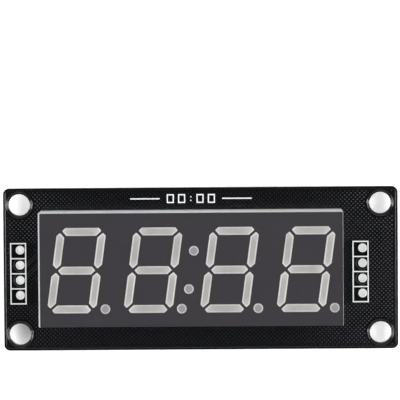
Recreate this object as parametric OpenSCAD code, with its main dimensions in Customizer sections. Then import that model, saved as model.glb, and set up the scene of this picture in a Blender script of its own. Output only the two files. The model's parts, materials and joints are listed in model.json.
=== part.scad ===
// Four-digit seven segment display module.
//
// A moulded display with a colon stands on the front of a black circuit board. Its pins pass
// through the board, which carries a driver chip, capacitors and resistors on its back, a row of
// four empty header holes at each end and a mounting hole at each corner.
//
// The origin is the middle of the four mounting holes, on the back face of the board. +X runs
// along the board, +Y points to the top of the digits and +Z out of the face of the display.

/* [Digits] */
// Height of a digit
digit_h = 14.2; // [12:0.1:16]
// Width of a digit, measured without its slant
digit_w = 8.16; // [7.4:0.02:8.6]
// Distance from one digit to the next
digit_pitch = 12.7; // [12.4:0.05:16]
// Slant of the digits in degrees
slant = 7.8; // [5:0.2:10]
// Width of a segment
segment_t = 1.32; // [1:0.02:1.7]
// Dark line left between two segments
segment_gap = 0.44; // [0.2:0.02:0.6]
// Radius of the corners of a segment
segment_corner_r = 0.15; // [0.05:0.01:0.25]
// Diameter of the decimal points and the colon dots
dot_d = 1.6; // [1:0.05:1.8]
// Distance from the right-hand segments of a digit to its decimal point, between centres
dot_reach = 2.18; // [1.9:0.02:2.3]
// Height of a colon dot above or below the middle of the digits
colon_rise = 3.18; // [2:0.02:4]
// Distance of the digits to the right of the middle of the body
digits_right = 0.1; // [0:0.05:0.2]
// Distance of the digits below the middle of the body
digits_down = 0.1; // [0:0.05:0.2]

/* [Display body] */
// Plastic above and below the digits
face_margin = 2.44; // [2.2:0.02:4]
// Amount by which each end of the body falls short of the cells of the digits
end_trim = 0.07; // [0:0.01:0.15]
// Height of the face above the circuit board
body_depth = 8; // [6.5:0.1:12]
// Radius of the upright corners of the body
body_corner_r = 0.2; // [0.1:0.05:0.2]
// Wall round the hollow back of the body
wall_t = 1; // [0.7:0.05:1.2]
// Straight mouth of a light well, under the face
well_mouth = 1; // [0.5:0.1:2]
// Length of a light well at its floor
well_floor_l = 1.6; // [1:0.1:3]
// Diameter of a dot's light well at its floor
dot_floor_d = 0.9; // [0.6:0.05:1]
// Thickness of the dark print on the face
print_t = 0.05; // [0.03:0.01:0.1]
// White edge left of the print
print_inset_left = 0.24; // [0.02:0.02:0.6]
// White edge right of the print
print_inset_right = 0.06; // [0.02:0.02:0.6]
// White edge above the print
print_inset_top = 0.16; // [0.02:0.02:0.6]
// White edge below the print
print_inset_bottom = 0.02; // [0.02:0.02:0.6]

/* [Inside the display] */
// Space between the potting resin and the circuit board
back_relief = 0.3; // [0.1:0.05:0.6]
// Depth of the potting resin under the die board
potting_t = 1.9; // [1:0.1:2.5]
// Thickness of the die board
die_board_t = 0.8; // [0.4:0.1:1.2]
// Play between the die board and the walls of the body
die_board_play = 0.1; // [0.05:0.05:0.3]
// Side of a light-emitting die
die_side = 0.3; // [0.2:0.02:0.5]
// Height of a light-emitting die
die_t = 0.2; // [0.1:0.02:0.4]

/* [Display pins] */
// Diameter of a pin
pin_d = 0.5; // [0.4:0.02:0.6]
// Distance between the pins of a row
pin_pitch = 2.54; // [2:0.01:3]
// Distance from a long side of the body to its row of pins
pin_inset = 1.92; // [1.6:0.02:2.2]
// Length of a pin behind the circuit board
pin_tail = 1.3; // [1:0.1:2]
// Diameter of a pin's hole in the circuit board
pin_hole_d = 0.9; // [0.7:0.05:1.1]
// Diameter of a solder joint where it meets the board
joint_d = 1.7; // [1.4:0.05:1.8]
// Height of a solder joint
joint_h = 0.9; // [0.6:0.05:1]

/* [Circuit board] */
// Thickness of the circuit board
board_t = 1.6; // [0.8:0.1:2.4]
// Radius of the corners of the circuit board
board_corner_r = 1; // [0.5:0.1:2.5]
// Board to the left of the left header holes
edge_left = 2.8; // [2.4:0.02:8]
// Board to the right of the right header holes
edge_right = 5.94; // [4:0.02:10]
// Board above the display
edge_top = 3.72; // [3:0.01:8]
// Board below the display
edge_bottom = 4.53; // [3:0.01:8]

/* [Mounting holes] */
// Diameter of a mounting hole
mount_hole_d = 3.6; // [2.2:0.1:4]
// Distance from the left edge to the left mounting holes
mount_inset_left = 2.7; // [2.3:0.01:4]
// Distance from the right edge to the right mounting holes
mount_inset_right = 2.94; // [2.3:0.01:4]
// Distance from the top and bottom edges to the mounting holes
mount_inset_y = 2.765; // [2.3:0.005:4]

/* [Header holes] */
// Distance between the holes of a header row
header_pitch = 2.54; // [2.2:0.01:3]
// Distance from a side of the display to its header row
header_gap = 3.47; // [2.8:0.01:6]
// Height of the middle of a header row above the middle of the mounting holes
header_rise = -0.5; // [-2:0.05:2]
// Diameter of a header hole
header_hole_d = 1; // [0.8:0.02:1.2]
// Diameter of the pad round a header hole
header_pad_d = 1.48; // [1.34:0.02:1.7]
// Thickness of a solder pad on the board
pad_t = 0.05; // [0.03:0.01:0.1]

/* [White ink] */
// Thickness of the ink
ink_t = 0.04; // [0.02:0.01:0.06]
// Width of an ink line
ink_line = 0.2; // [0.15:0.01:0.35]
// Bare board between a header pad and the line at its right
ink_gap_right = 0.08; // [0.04:0.01:0.4]
// Bare board between a header pad and the line at its left
ink_gap_left = 0.75; // [0.2:0.05:1]
// Bare board between a header pad and the line above it
ink_gap_top = 0.25; // [0.1:0.01:0.4]
// Height of the mark above the display
mark_h = 1.5; // [1:0.1:2]
// Width of one frame in the mark
mark_frame_w = 1.2; // [0.8:0.1:1.5]
// Distance between two frames of the mark
mark_pitch = 1.9; // [1.7:0.1:2.5]
// Width of the whole mark
mark_w = 20.4; // [16:0.2:30]

/* [Driver chip] */
// Distance between two leads of the chip
lead_pitch = 1.27; // [1:0.01:1.5]
// Length of the chip beyond its last lead
chip_end = 0.68; // [0.5:0.02:1.2]
// Width of the chip's moulded body
chip_w = 7.5; // [6:0.1:8.5]
// Height of the chip's moulded body
chip_h = 2.3; // [1.8:0.1:2.6]
// Space between the chip's body and its pads
chip_rise = 0.1; // [0.05:0.05:0.3]
// Flat band round the chip's body, where the leads leave it
chip_band = 0.36; // [0.3:0.02:0.6]
// Lean of the chip's sides from the band to the top or bottom
chip_lean = 0.15; // [0.05:0.01:0.25]
// Length of the level shoulder of a lead, beside the body
lead_shoulder = 0.3; // [0.3:0.02:0.5]
// Sideways run of the part of a lead that slopes down to the board
lead_run = 0.3; // [0.1:0.02:0.5]
// Width of a lead
lead_w = 0.42; // [0.3:0.02:0.6]
// Thickness of a lead
lead_t = 0.22; // [0.15:0.01:0.28]
// Length of the flat foot of a lead
lead_foot = 0.8; // [0.5:0.05:1]
// Diameter of the dimple that marks lead 1
dimple_d = 1.1; // [0.6:0.1:1.6]

/* [Small parts] */
// Length of a chip capacitor
cap_l = 2; // [1.6:0.1:2.4]
// Width of a chip capacitor
cap_w = 1.25; // [0.8:0.05:1.4]
// Height of a chip capacitor
cap_h = 0.85; // [0.5:0.05:1.4]
// Length of a chip resistor
res_l = 1.6; // [1.4:0.1:2]
// Width of a chip resistor
res_w = 0.8; // [0.6:0.05:1.2]
// Height of a chip resistor
res_h = 0.45; // [0.3:0.05:0.6]
// Length of the metal end of a small part
end_l = 0.35; // [0.2:0.01:0.5]
// Amount by which a metal end stands proud of the ceramic
end_proud = 0.03; // [0.01:0.01:0.06]
// Reach of the solder beyond a metal end
fillet_l = 0.4; // [0.2:0.05:0.6]
// Distance from the left header row to the column of small parts
column_gap = 6.5; // [4:0.1:8]
// Distance between the small parts of the column
column_pitch = 2.3; // [2:0.1:3]
// Distance from the end of the driver chip to its own capacitor
chip_cap_gap = 2.6; // [1.5:0.1:4]

/* [Hidden] */
SEGMENTS = ["a", "b", "c", "d", "e", "f", "g"];
DIGITS = 4;
PINS_PER_ROW = 6;
HEADER_HOLES = 4;
LEADS_PER_SIDE = 10;

// The nodes of the light pipes, digit by digit, then the two colon dots
PIPES = concat(
    [for (n = [1:DIGITS], s = SEGMENTS) str("digit_", n, "_segment_", s)],
    [for (n = [1:DIGITS]) str("digit_", n, "_decimal_point")],
    ["colon_dot_upper", "colon_dot_lower"]
);

// Faces on a large hole, a small hole and a tiny one
BIG_FN = 96;
HOLE_FN = 48;
TINY_FN = 24;
// Straight pieces in a rounded corner of a segment
CORNER_STEPS = 2;
// Straight pieces in the hollow curve of a solder fillet
FILLET_STEPS = 4;
// Overshoot of a cutting shape past the face that it opens
CUT = 0.5;
// The same past the floor of a light well, where the well goes on narrowing
WELL_CUT = 0.1;

// Digit skeleton: the centre lines of the upright and the level segments, without slant
column_x = (digit_w - segment_t) / 2;
row_y = (digit_h - segment_t) / 2;
segment_r = segment_t / 2;
// A gap measured along X or Y instead of square across two facing 45 degree ends
gap_xy = segment_gap / sqrt(2);

// Display body
body_w = DIGITS * digit_pitch - 2 * end_trim;
body_h = digit_h + 2 * face_margin;
recess_w = body_w - 2 * wall_t;
recess_h = body_h - 2 * wall_t;

// Heights in the stack
board_top = board_t;
potting_z = board_top + back_relief;
die_board_z = potting_z + potting_t;
well_z = die_board_z + die_board_t;
face_z = board_top + body_depth;
print_z = face_z - print_t;

// Circuit board, mounting holes and the places of the display and the header rows
board_w = body_w + 2 * header_gap + edge_left + edge_right;
board_h = body_h + edge_top + edge_bottom;
mount_x = (board_w - mount_inset_left - mount_inset_right) / 2;
mount_y = board_h / 2 - mount_inset_y;
board_left = -mount_x - mount_inset_left;
board_bottom = -mount_y - mount_inset_y;
header_left_x = board_left + edge_left;
header_right_x = board_left + board_w - edge_right;
display_x = header_left_x + header_gap + body_w / 2;
display_y = board_bottom + edge_bottom + body_h / 2;
pin_row_y = body_h / 2 - pin_inset;
chip_l = (LEADS_PER_SIDE - 1) * lead_pitch + 2 * chip_end;

// Middle of a header row, in Y, from its n-th hole, counted down from the top
function header_hole_y(n) = header_rise + ((HEADER_HOLES + 1) / 2 - n) * header_pitch;

// Slant: a point moves sideways with its height
function slanted(p) = [p.x + p.y * tan(slant), p.y];
function slanted_all(points) = [for (p = points) slanted(p)];
function turned(points, sx, sy) = [for (p = points) [p.x * sx, p.y * sy]];

// Outline of a convex shape with each corner rounded to radius r
function rounded(points, r) = [
    for (i = [0:len(points) - 1])
        let (
            here = points[i],
            back = points[(i + len(points) - 1) % len(points)] - here,
            ahead = points[(i + 1) % len(points)] - here,
            u = back / norm(back),
            v = ahead / norm(ahead),
            half_angle = acos(u * v) / 2,
            centre = here + (u + v) / norm(u + v) * r / sin(half_angle),
            from = here + u * r / tan(half_angle) - centre,
            to = here + v * r / tan(half_angle) - centre,
            start = atan2(from.y, from.x),
            turn = atan2(from.x * to.y - from.y * to.x, from * to)
        )
        for (k = [0:CORNER_STEPS])
            let (angle = start + turn * k / CORNER_STEPS)
            centre + r * [cos(angle), sin(angle)]
];

// Outlines of segments a, f and g before the slant; the other four are these turned over
OUTLINE_A = [
    [-column_x + gap_xy / 2, row_y + gap_xy / 2],
    [-column_x + segment_r, row_y + segment_r],
    [column_x - segment_r, row_y + segment_r],
    [column_x - gap_xy / 2, row_y + gap_xy / 2],
    [column_x - gap_xy - segment_r, row_y - segment_r],
    [-column_x + gap_xy + segment_r, row_y - segment_r]
];
OUTLINE_F = [
    [-column_x - gap_xy / 2, row_y - gap_xy / 2],
    [-column_x + segment_r, row_y - gap_xy - segment_r],
    [-column_x + segment_r, gap_xy + segment_r],
    [-column_x, gap_xy],
    [-column_x - segment_r, gap_xy + segment_r],
    [-column_x - segment_r, row_y - segment_r]
];
OUTLINE_G = [
    [-column_x + gap_xy, 0],
    [-column_x + gap_xy + segment_r, segment_r],
    [column_x - gap_xy - segment_r, segment_r],
    [column_x - gap_xy, 0],
    [column_x - gap_xy - segment_r, -segment_r],
    [-column_x + gap_xy + segment_r, -segment_r]
];
function outline(s) =
    s == "a" ? OUTLINE_A :
    s == "b" ? turned(OUTLINE_F, -1, 1) :
    s == "c" ? turned(OUTLINE_F, -1, -1) :
    s == "d" ? turned(OUTLINE_A, 1, -1) :
    s == "e" ? turned(OUTLINE_F, 1, -1) :
    s == "f" ? OUTLINE_F :
    OUTLINE_G;

// Middle of a segment before the slant
function middle(s) =
    s == "a" ? [0, row_y] :
    s == "b" ? [column_x, row_y / 2] :
    s == "c" ? [column_x, -row_y / 2] :
    s == "d" ? [0, -row_y] :
    s == "e" ? [-column_x, -row_y / 2] :
    s == "f" ? [-column_x, row_y / 2] :
    [0, 0];
function is_level(s) = s == "a" || s == "d" || s == "g";

// Middle of all digits, of the n-th digit, of its decimal point and of the upper or lower colon
// dot, from the middle of the body
digits_at = [digits_right, -digits_down];
function digit_at(n) = digits_at + [(n - (DIGITS + 1) / 2) * digit_pitch, 0];
function point_at(n) = digit_at(n) + slanted([column_x + dot_reach, -row_y]);
function colon_at(side) = digits_at + slanted([0, side * colon_rise]);

// All dots, and all the places of a die
DOT_PLACES = concat([for (n = [1:DIGITS]) point_at(n)], [colon_at(1), colon_at(-1)]);
DIE_PLACES = concat(
    [for (n = [1:DIGITS], s = SEGMENTS) digit_at(n) + slanted(middle(s))],
    DOT_PLACES
);
// Places of the display pins
PIN_PLACES = [
    for (side = [-1, 1], n = [1:PINS_PER_ROW])
        [display_x + (n - (PINS_PER_ROW + 1) / 2) * pin_pitch, display_y + side * pin_row_y]
];

// Plate with rounded upright corners, with its middle at the origin in X and Y
module rounded_plate(w, h, r, t, fn) {
    translate([-w / 2 + r, -h / 2, 0]) cube([w - 2 * r, h, t]);
    translate([-w / 2, -h / 2 + r, 0]) cube([w, h - 2 * r, t]);
    for (sx = [-1, 1], sy = [-1, 1])
        translate([sx * (w / 2 - r), sy * (h / 2 - r), 0]) cylinder(h = t, r = r, $fn = fn);
}

// Round bar with an oversized end at both sides, as a cutter
module drill(d, z0, z1, fn) {
    translate([0, 0, z0]) cylinder(h = z1 - z0, d = d, $fn = fn);
}

module at_display() {
    translate([display_x, display_y, 0]) children();
}

// Window of a segment or a dot: its outline, straight up from z0 to z1
module segment_window(n, s, z0, z1) {
    translate([digit_at(n).x, digit_at(n).y, z0])
        linear_extrude(z1 - z0) polygon(rounded(slanted_all(outline(s)), segment_corner_r));
}

module dot_window(at, z0, z1) {
    translate([at.x, at.y, 0]) drill(dot_d, z0, z1, HOLE_FN);
}

// Light pipe of one segment: its ends slope in from the mouth of the well to the short floor.
// below and above lengthen it, where it is used as a cutter.
module segment_pipe(n, s, below = 0, above = 0) {
    at = digit_at(n) + slanted(middle(s));
    reach = is_level(s) ? column_x : row_y / 2 / cos(slant);
    mouth_z = face_z - well_mouth;
    slope = (reach - well_floor_l / 2) / (mouth_z - well_z);
    floor = well_floor_l / 2 - below * slope;
    intersection() {
        segment_window(n, s, well_z - below, face_z + above);
        translate([at.x, at.y, 0])
            rotate([0, 0, is_level(s) ? 0 : 90 - slant])
                rotate([90, 0, 0])
                    linear_extrude(4 * segment_t, center = true)
                        polygon([
                            [-floor, well_z - below],
                            [floor, well_z - below],
                            [reach, mouth_z],
                            [reach, face_z + above],
                            [-reach, face_z + above],
                            [-reach, mouth_z]
                        ]);
    }
}

// Light pipe of a dot: a cone with a straight mouth
module dot_pipe(at, below = 0, above = 0) {
    mouth_z = face_z - well_mouth;
    slope = (dot_d - dot_floor_d) / (mouth_z - well_z);
    translate([at.x, at.y, well_z - below])
        cylinder(
            h = mouth_z - well_z + below,
            d1 = dot_floor_d - below * slope,
            d2 = dot_d,
            $fn = HOLE_FN
        );
    dot_window(at, mouth_z, face_z + above);
}

// Every light pipe at once, as a cutter
module all_pipes(below, above) {
    for (n = [1:DIGITS], s = SEGMENTS) segment_pipe(n, s, below, above);
    for (at = DOT_PLACES) dot_pipe(at, below, above);
}

module die(at) {
    translate([at.x - die_side / 2, at.y - die_side / 2, well_z]) cube([die_side, die_side, die_t]);
}

// A light pipe as it is cast: round its die
module cast_segment(n, s) {
    color([0.78, 0.76, 0.75])
        at_display()
            difference() {
                segment_pipe(n, s);
                die(digit_at(n) + slanted(middle(s)));
            }
}

module cast_dot(at) {
    color([0.7, 0.69, 0.69])
        at_display()
            difference() {
                dot_pipe(at);
                die(at);
            }
}

// White moulded body: an open box from behind, with a tapered well through it for each light pipe
module display_body() {
    color([0.93, 0.93, 0.92])
        at_display()
            difference() {
                translate([0, 0, board_top])
                    rounded_plate(body_w, body_h, body_corner_r, print_z - board_top, HOLE_FN);
                translate([-recess_w / 2, -recess_h / 2, board_top - CUT])
                    cube([recess_w, recess_h, well_z - board_top + CUT]);
                all_pipes(WELL_CUT, CUT);
            }
}

// Dark print on the face, with a window over each light pipe
module face_print() {
    left = -body_w / 2 + print_inset_left;
    bottom = -body_h / 2 + print_inset_bottom;
    w = body_w - print_inset_left - print_inset_right;
    h = body_h - print_inset_top - print_inset_bottom;
    color([0.26, 0.25, 0.27])
        at_display()
            difference() {
                translate([left + w / 2, bottom + h / 2, print_z])
                    rounded_plate(w, h, body_corner_r, print_t, HOLE_FN);
                for (n = [1:DIGITS], s = SEGMENTS) segment_window(n, s, print_z - CUT, face_z + CUT);
                for (at = DOT_PLACES) dot_window(at, print_z - CUT, face_z + CUT);
            }
}

// Board inside the display that carries the dies
module die_board() {
    w = recess_w - 2 * die_board_play;
    h = recess_h - 2 * die_board_play;
    color([0.85, 0.82, 0.7])
        difference() {
            at_display() translate([-w / 2, -h / 2, die_board_z]) cube([w, h, die_board_t]);
            pin_shafts(die_board_z - CUT, well_z + CUT);
        }
}

module led_dies() {
    color([0.95, 0.75, 0.35]) at_display() for (at = DIE_PLACES) die(at);
}

// Resin poured into the back of the display, round its pins
module potting_resin() {
    color([0.8, 0.78, 0.72])
        difference() {
            at_display()
                translate([-recess_w / 2, -recess_h / 2, potting_z]) cube([recess_w, recess_h, potting_t]);
            pin_shafts(potting_z - CUT, die_board_z + CUT);
        }
}

module pin_shafts(z0, z1) {
    for (at = PIN_PLACES) translate([at.x, at.y, 0]) drill(pin_d, z0, z1, TINY_FN);
}

module display_pins() {
    color([0.8, 0.8, 0.8]) pin_shafts(-pin_tail, well_z);
}

// One solder joint: it fills the board's hole round the pin and rises along the pin behind the
// board in a hollow curve
module joint() {
    foot_r = joint_d / 2;
    pin_r = pin_d / 2;
    neck_r = pin_r + 0.1 * joint_d;
    curve = [
        for (k = [0:FILLET_STEPS])
            let (angle = 90 * k / FILLET_STEPS)
            [
                foot_r - (foot_r - neck_r) * sin(angle),
                -pad_t - (joint_h - pad_t) * (1 - cos(angle))
            ]
    ];
    rotate_extrude($fn = TINY_FN)
        polygon(concat(
            [[pin_r, board_top], [pin_hole_d / 2, board_top], [pin_hole_d / 2, 0], [foot_r, 0]],
            curve,
            [[pin_r, -joint_h]]
        ));
}

module pin_solder() {
    color([0.72, 0.73, 0.74]) for (at = PIN_PLACES) translate([at.x, at.y, 0]) joint();
}

// Black board with its mounting, header and pin holes
module circuit_board() {
    color([0.07, 0.07, 0.08])
        difference() {
            translate([board_left + board_w / 2, board_bottom + board_h / 2, 0])
                rounded_plate(board_w, board_h, board_corner_r, board_t, BIG_FN);
            for (sx = [-1, 1], sy = [-1, 1])
                translate([sx * mount_x, sy * mount_y, 0])
                    drill(mount_hole_d, -CUT, board_t + CUT, BIG_FN);
            for (x = [header_left_x, header_right_x], n = [1:HEADER_HOLES])
                translate([x, header_hole_y(n), 0])
                    drill(header_hole_d, -CUT, board_t + CUT, HOLE_FN);
            for (at = PIN_PLACES)
                translate([at.x, at.y, 0]) drill(pin_hole_d, -CUT, board_t + CUT, TINY_FN);
        }
}

// Tinned pads round the header holes, on both faces of the board
module header_pads(x) {
    color([0.86, 0.86, 0.85])
        for (n = [1:HEADER_HOLES], z = [-pad_t, board_t])
            translate([x, header_hole_y(n), z])
                difference() {
                    drill(header_pad_d, 0, pad_t, HOLE_FN);
                    drill(header_hole_d, -CUT, pad_t + CUT, HOLE_FN);
                }
}

// White box of four cells round a header row
module header_marks(x) {
    pad_r = header_pad_d / 2;
    left = -pad_r - ink_gap_left - ink_line;
    right = pad_r + ink_gap_right + ink_line;
    top = header_hole_y(1) + pad_r + ink_gap_top + ink_line;
    color([0.95, 0.95, 0.95])
        translate([x, 0, board_top])
            difference() {
                translate([left, top - HEADER_HOLES * header_pitch - ink_line, 0])
                    cube([right - left, HEADER_HOLES * header_pitch + ink_line, ink_t]);
                for (n = [1:HEADER_HOLES])
                    translate([left + ink_line, top - n * header_pitch, -CUT])
                        cube([right - left - 2 * ink_line, header_pitch - ink_line, ink_t + 2 * CUT]);
            }
}

// White mark above the display: four frames and a colon between two rules
module front_mark() {
    frames_w = 3 * mark_pitch + mark_frame_w + mark_frame_w;
    rule_w = (mark_w - frames_w - 2 * mark_frame_w) / 2;
    color([0.95, 0.95, 0.95])
        translate([display_x, board_bottom + board_h - edge_top / 2, board_top]) {
            for (side = [-1, 1]) {
                for (k = [0, 1])
                    translate([side * (frames_w / 2 - mark_frame_w / 2 - k * mark_pitch), 0, 0])
                        difference() {
                            ink_block(mark_frame_w, mark_h, 0);
                            ink_block(mark_frame_w - 2 * ink_line, mark_h - 2 * ink_line, CUT);
                        }
                translate([0, side * mark_h / 5, 0]) ink_block(ink_line, ink_line, 0);
                translate([side * (mark_w - rule_w) / 2, 0, 0]) ink_block(rule_w, ink_line, 0);
            }
        }
}

// Block of ink with its middle at the origin; over lengthens it both ways, as a cutter
module ink_block(w, h, over) {
    translate([-w / 2, -h / 2, -over]) cube([w, h, ink_t + 2 * over]);
}

// Parts on the back are drawn with their pads at z = 0 and their tops up, then turned over
module behind(at, turn = 0) {
    translate([at.x, at.y, 0]) rotate([180, 0, 0]) rotate([0, 0, turn]) children();
}

chip_at = [display_x, display_y];
band_z = pad_t + chip_rise + chip_h / 2;
lead_tip = chip_w / 2 + lead_shoulder + lead_run + lead_foot;

// Moulded chip body: a flat band, with sides that lean in above and below it
module chip_body() {
    z0 = pad_t + chip_rise;
    z1 = z0 + chip_h;
    function side(half) = [
        [-half + chip_lean, z0], [half - chip_lean, z0],
        [half, band_z - chip_band / 2], [half, band_z + chip_band / 2],
        [half - chip_lean, z1], [-half + chip_lean, z1],
        [-half, band_z + chip_band / 2], [-half, band_z - chip_band / 2]
    ];
    color([0.12, 0.12, 0.12])
        behind(chip_at)
            difference() {
                intersection() {
                    rotate([90, 0, 0])
                        linear_extrude(2 * chip_w, center = true) polygon(side(chip_l / 2));
                    rotate([90, 0, 90])
                        linear_extrude(2 * chip_l, center = true) polygon(side(chip_w / 2));
                }
                translate([-chip_l / 2 + 1.5 * dimple_d, -chip_w / 2 + 1.5 * dimple_d, z1 + 0.4 * dimple_d])
                    sphere(d = dimple_d, $fn = HOLE_FN);
            }
}

// Band of thickness t along a path, with mitred bends
function band_side(path, shift) = [
    for (i = [0:len(path) - 1])
        let (
            into = i > 0 ? path[i] - path[i - 1] : path[1] - path[0],
            out = i < len(path) - 1 ? path[i + 1] - path[i] : into,
            n1 = [-into.y, into.x] / norm(into),
            n2 = [-out.y, out.x] / norm(out),
            mitre = (n1 + n2) / (1 + n1 * n2)
        )
        path[i] + shift * mitre
];
function band(path, t) = concat(
    band_side(path, t / 2),
    [for (i = [len(path) - 1:-1:0]) band_side(path, -t / 2)[i]]
);

// Gull-wing lead: out of the body, down to the pad and along it, with eased bends
LEAD_PATH = let (
    foot_z = pad_t + lead_t / 2,
    knee = chip_w / 2 + lead_shoulder,
    heel = lead_tip - lead_foot,
    ease = lead_t
) [
    [chip_w / 2, band_z],
    [knee - ease, band_z],
    [knee, band_z - ease],
    [heel, foot_z + ease],
    [heel + ease, foot_z],
    [lead_tip, foot_z]
];

module chip_leads() {
    color([0.75, 0.75, 0.75])
        behind(chip_at)
            for (side = [0, 180], n = [0:LEADS_PER_SIDE - 1])
                rotate([0, 0, side])
                    translate([(n - (LEADS_PER_SIDE - 1) / 2) * lead_pitch, 0, 0])
                        rotate([90, 0, 90])
                            linear_extrude(lead_w, center = true) polygon(band(LEAD_PATH, lead_t));
}

// Pad and solder under each lead
module chip_solder() {
    heel = lead_tip - lead_foot;
    color([0.72, 0.73, 0.74])
        behind(chip_at)
            for (side = [0, 180], n = [0:LEADS_PER_SIDE - 1])
                rotate([0, 0, side])
                    translate([(n - (LEADS_PER_SIDE - 1) / 2) * lead_pitch, 0, 0])
                        rotate([90, 0, 90])
                            linear_extrude(1.3 * lead_w, center = true)
                                polygon([
                                    [heel - lead_t, 0],
                                    [lead_tip + 1.4 * lead_t, 0],
                                    [lead_tip + 1.4 * lead_t, pad_t],
                                    [lead_tip, pad_t + 0.7 * lead_t],
                                    [lead_tip, pad_t],
                                    [heel - lead_t, pad_t]
                                ]);
}

// Places and turns of the small parts: the chip's own capacitor, then the column by the header
column_x_back = header_left_x + column_gap;
function column_place(k) = [[column_x_back, header_rise + k * column_pitch], 0];
CAPACITORS = [
    [[display_x - chip_l / 2 - chip_cap_gap, display_y], 90],
    column_place(-1.5),
    column_place(-0.5)
];
RESISTORS = [column_place(0.5), column_place(1.5)];

module ceramic(l, w, h) {
    translate([-l / 2 + end_l, -w / 2, pad_t + end_proud]) cube([l - 2 * end_l, w, h]);
}

module metal_ends(l, w, h) {
    for (side = [-1, 1])
        translate([side * (l - end_l) / 2 - end_l / 2, -w / 2 - end_proud, pad_t])
            cube([end_l, w + 2 * end_proud, h + 2 * end_proud]);
}

// Pad under a metal end, with a fillet of solder up its face
module end_solder(l, w, h) {
    for (turn = [0, 180])
        rotate([0, 0, turn])
            rotate([90, 0, 0])
                linear_extrude(w + 2 * end_proud, center = true)
                    polygon([
                        [l / 2 - end_l, 0],
                        [l / 2 + fillet_l, 0],
                        [l / 2 + fillet_l, pad_t],
                        [l / 2 + fillet_l / 3, pad_t + h / 5],
                        [l / 2, pad_t + h / 2],
                        [l / 2, pad_t],
                        [l / 2 - end_l, pad_t]
                    ]);
}

module capacitor_bodies() {
    color([0.66, 0.52, 0.36]) for (c = CAPACITORS) behind(c[0], c[1]) ceramic(cap_l, cap_w, cap_h);
}

module capacitor_ends() {
    color([0.78, 0.78, 0.77]) for (c = CAPACITORS) behind(c[0], c[1]) metal_ends(cap_l, cap_w, cap_h);
}

module resistor_bodies() {
    color([0.1, 0.1, 0.11]) for (r = RESISTORS) behind(r[0], r[1]) ceramic(res_l, res_w, res_h);
}

module resistor_ends() {
    color([0.78, 0.78, 0.77]) for (r = RESISTORS) behind(r[0], r[1]) metal_ends(res_l, res_w, res_h);
}

module small_part_solder() {
    color([0.72, 0.73, 0.74]) {
        for (c = CAPACITORS) behind(c[0], c[1]) end_solder(cap_l, cap_w, cap_h);
        for (r = RESISTORS) behind(r[0], r[1]) end_solder(res_l, res_w, res_h);
    }
}

circuit_board();
header_pads(header_left_x);  // header_pads_left
header_pads(header_right_x);  // header_pads_right
header_marks(header_left_x);  // header_marks_left
header_marks(header_right_x);  // header_marks_right
front_mark();
display_body();
face_print();
die_board();
led_dies();
potting_resin();
display_pins();
pin_solder();
chip_body();
chip_leads();
chip_solder();
capacitor_bodies();
capacitor_ends();
resistor_bodies();
resistor_ends();
small_part_solder();
for (n = [1:DIGITS], s = SEGMENTS)
    cast_segment(n, s);
for (n = [1:DIGITS])
    cast_dot(point_at(n));
cast_dot(colon_at(1));  // colon_dot_upper
cast_dot(colon_at(-1));  // colon_dot_lower
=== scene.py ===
import json
import math
from itertools import combinations

import bpy
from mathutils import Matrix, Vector


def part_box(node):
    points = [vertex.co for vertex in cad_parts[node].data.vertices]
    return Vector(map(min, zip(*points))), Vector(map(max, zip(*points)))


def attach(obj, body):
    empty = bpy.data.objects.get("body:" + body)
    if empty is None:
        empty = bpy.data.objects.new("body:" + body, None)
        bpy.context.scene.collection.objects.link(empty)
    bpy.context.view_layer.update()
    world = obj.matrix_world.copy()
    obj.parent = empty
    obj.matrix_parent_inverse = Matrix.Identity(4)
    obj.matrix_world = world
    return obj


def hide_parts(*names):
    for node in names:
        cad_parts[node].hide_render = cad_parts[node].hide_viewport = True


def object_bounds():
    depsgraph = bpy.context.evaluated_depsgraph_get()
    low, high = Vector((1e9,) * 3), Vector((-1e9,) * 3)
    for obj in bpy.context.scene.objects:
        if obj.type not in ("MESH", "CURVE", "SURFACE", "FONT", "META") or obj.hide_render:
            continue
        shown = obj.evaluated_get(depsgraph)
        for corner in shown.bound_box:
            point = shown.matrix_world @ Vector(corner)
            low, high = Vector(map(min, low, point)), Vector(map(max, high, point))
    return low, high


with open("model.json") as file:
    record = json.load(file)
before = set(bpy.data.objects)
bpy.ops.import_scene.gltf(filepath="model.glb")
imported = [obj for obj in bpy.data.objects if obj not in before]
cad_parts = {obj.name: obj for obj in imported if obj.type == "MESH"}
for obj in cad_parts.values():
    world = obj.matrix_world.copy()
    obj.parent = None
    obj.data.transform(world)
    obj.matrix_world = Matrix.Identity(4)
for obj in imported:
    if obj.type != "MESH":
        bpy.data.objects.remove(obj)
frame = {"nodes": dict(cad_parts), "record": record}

bl_info = {
    "name": "Seven Segment Display Module",
    "version": (1, 0, 0),
    "blender": (4, 5, 0),
    "location": "View3D > Sidebar > Display Module",
    "description": "Dresses a four-digit display on a black circuit board, from its packed solids",
    "category": "Mesh",
}

# Lengths are worked out in millimetres, and handed to the meshes and properties in metres
MM = 0.001
# Points of a solid's copy or of a turned piece that lie closer than this are merged
MERGE = 0.0005
CAD_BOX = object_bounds()
MOUNTS = {mount["name"]: mount for mount in frame["record"]["mounts"]}
BOARD_LOW, BOARD_HIGH = (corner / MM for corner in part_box("circuit_board"))
BODY_LOW, BODY_HIGH = (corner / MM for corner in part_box("display_body"))
PRINT_LOW, PRINT_HIGH = (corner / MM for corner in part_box("face_print"))
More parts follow.
